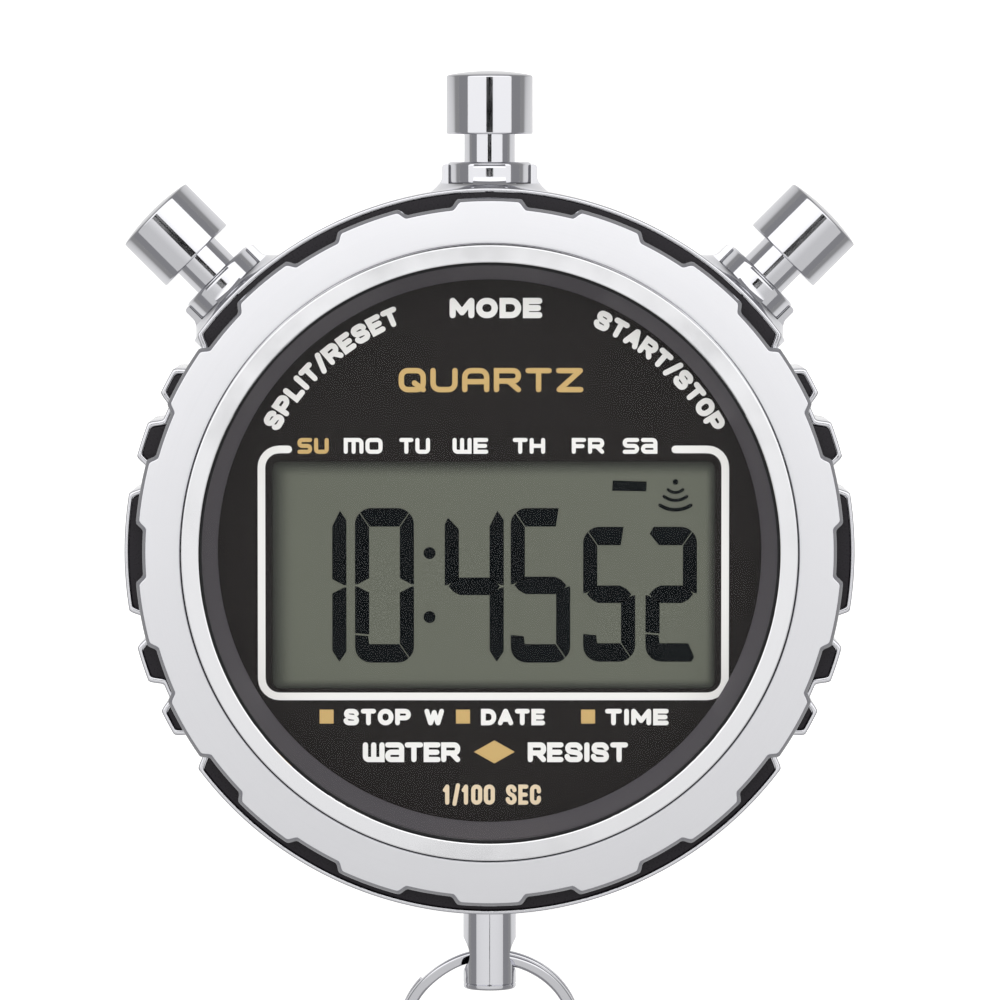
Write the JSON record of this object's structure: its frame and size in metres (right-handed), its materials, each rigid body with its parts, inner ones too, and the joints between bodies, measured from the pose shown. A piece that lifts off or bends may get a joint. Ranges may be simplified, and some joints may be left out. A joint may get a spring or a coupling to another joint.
{
  "type": "digital stopwatch",
  "caption": "Round handheld digital stopwatch: chromed case with grip lobes, notched bezel, sprung pushers, liquid crystal display, lanyard stem and split ring.",
  "frame": {"origin": "centre of the case back's flat outer face", "axes": "+Z out of the dial, +Y from the lanyard stem towards the mode pusher, +X to the right as the dial is read"},
  "size_m": [0.0632, 0.0916, 0.0151],
  "materials": {
    "polished_chrome": "mirror-polished chrome plating on zinc",
    "brushed_chrome": "circular brushed, satin chrome",
    "steel": "bright steel",
    "rubber": "matt black rubber",
    "black_inlay": "semi-gloss black plastic",
    "rehaut_black": "satin black plastic",
    "dial_black": "printed black-brown film",
    "crystal_glass": "clear mineral glass",
    "module_plastic": "dark grey moulding",
    "lcd": "grey-green liquid crystal glass with dark digits",
    "reflector": "pale reflector film",
    "circuit_board": "green glass-epoxy board",
    "chip_resin": "black epoxy resin",
    "brass": "plain brass"
  },
  "bodies": {
    "case": {"case_middle": "polished_chrome", "case_back": "brushed_chrome", "case_back_gasket": "rubber", "case_back_screw_1": "steel", "case_back_screw_2": "steel", "case_back_screw_3": "steel", "case_back_screw_4": "steel", "grip_ring": "black_inlay", "bezel": "brushed_chrome", "inner_ring": "polished_chrome", "crystal": "crystal_glass", "crystal_gasket": "rubber", "rehaut": "rehaut_black", "dial_plate": "dial_black", "module_frame": "module_plastic", "lcd_panel": "lcd", "lcd_reflector": "reflector", "lcd_connector_top": "rubber", "lcd_connector_bottom": "rubber", "circuit_board": "circuit_board", "module_screw_1": "steel", "module_screw_2": "steel", "module_screw_3": "steel", "timing_chip": "chip_resin", "quartz_resonator": "steel", "trimmer_capacitor": "brass", "battery": "steel", "battery_clip": "brass", "battery_contact": "brass", "buzzer_disc": "brass", "buzzer_spring": "brass", "lanyard_stem": "polished_chrome", "stem_nut": "brass", "reset_collar": "polished_chrome", "reset_pusher_spring": "steel", "reset_switch_leaf": "brass", "mode_collar": "polished_chrome", "mode_pusher_spring": "steel", "mode_switch_leaf": "brass", "start_collar": "polished_chrome", "start_pusher_spring": "steel", "start_switch_leaf": "brass"},
    "reset_pusher": {"reset_pusher_head": "polished_chrome", "reset_pusher_shaft": "polished_chrome", "reset_pusher_seal": "rubber", "reset_pusher_clip": "steel"},
    "mode_pusher": {"mode_pusher_head": "polished_chrome", "mode_pusher_shaft": "polished_chrome", "mode_pusher_seal": "rubber", "mode_pusher_clip": "steel"},
    "start_pusher": {"start_pusher_head": "polished_chrome", "start_pusher_shaft": "polished_chrome", "start_pusher_seal": "rubber", "start_pusher_clip": "steel"},
    "split_ring": {"split_ring": "polished_chrome"}
  },
  "joints": [
    {"name": "reset_press", "type": "slide", "parent": "case", "child": "reset_pusher", "axis": [0.7071, -0.7071, 0], "range_m": [0, 0.0012], "stiffness_N_per_m": 400, "springref_m": -0.003, "deforming": ["reset_pusher_spring", "reset_switch_leaf"]},
    {"name": "mode_press", "type": "slide", "parent": "case", "child": "mode_pusher", "axis": [0, -1, 0], "range_m": [0, 0.0012], "stiffness_N_per_m": 400, "springref_m": -0.003, "deforming": ["mode_pusher_spring", "mode_switch_leaf"]},
    {"name": "start_press", "type": "slide", "parent": "case", "child": "start_pusher", "axis": [-0.7071, -0.7071, 0], "range_m": [0, 0.0012], "stiffness_N_per_m": 400, "springref_m": -0.003, "deforming": ["start_pusher_spring", "start_switch_leaf"]},
    {"name": "ring_swing", "type": "hinge", "parent": "case", "child": "split_ring", "pos_m": [0, -0.0355, 0.0068], "axis": [1, 0, 0], "range_deg": [-135, 85]}
  ]
}
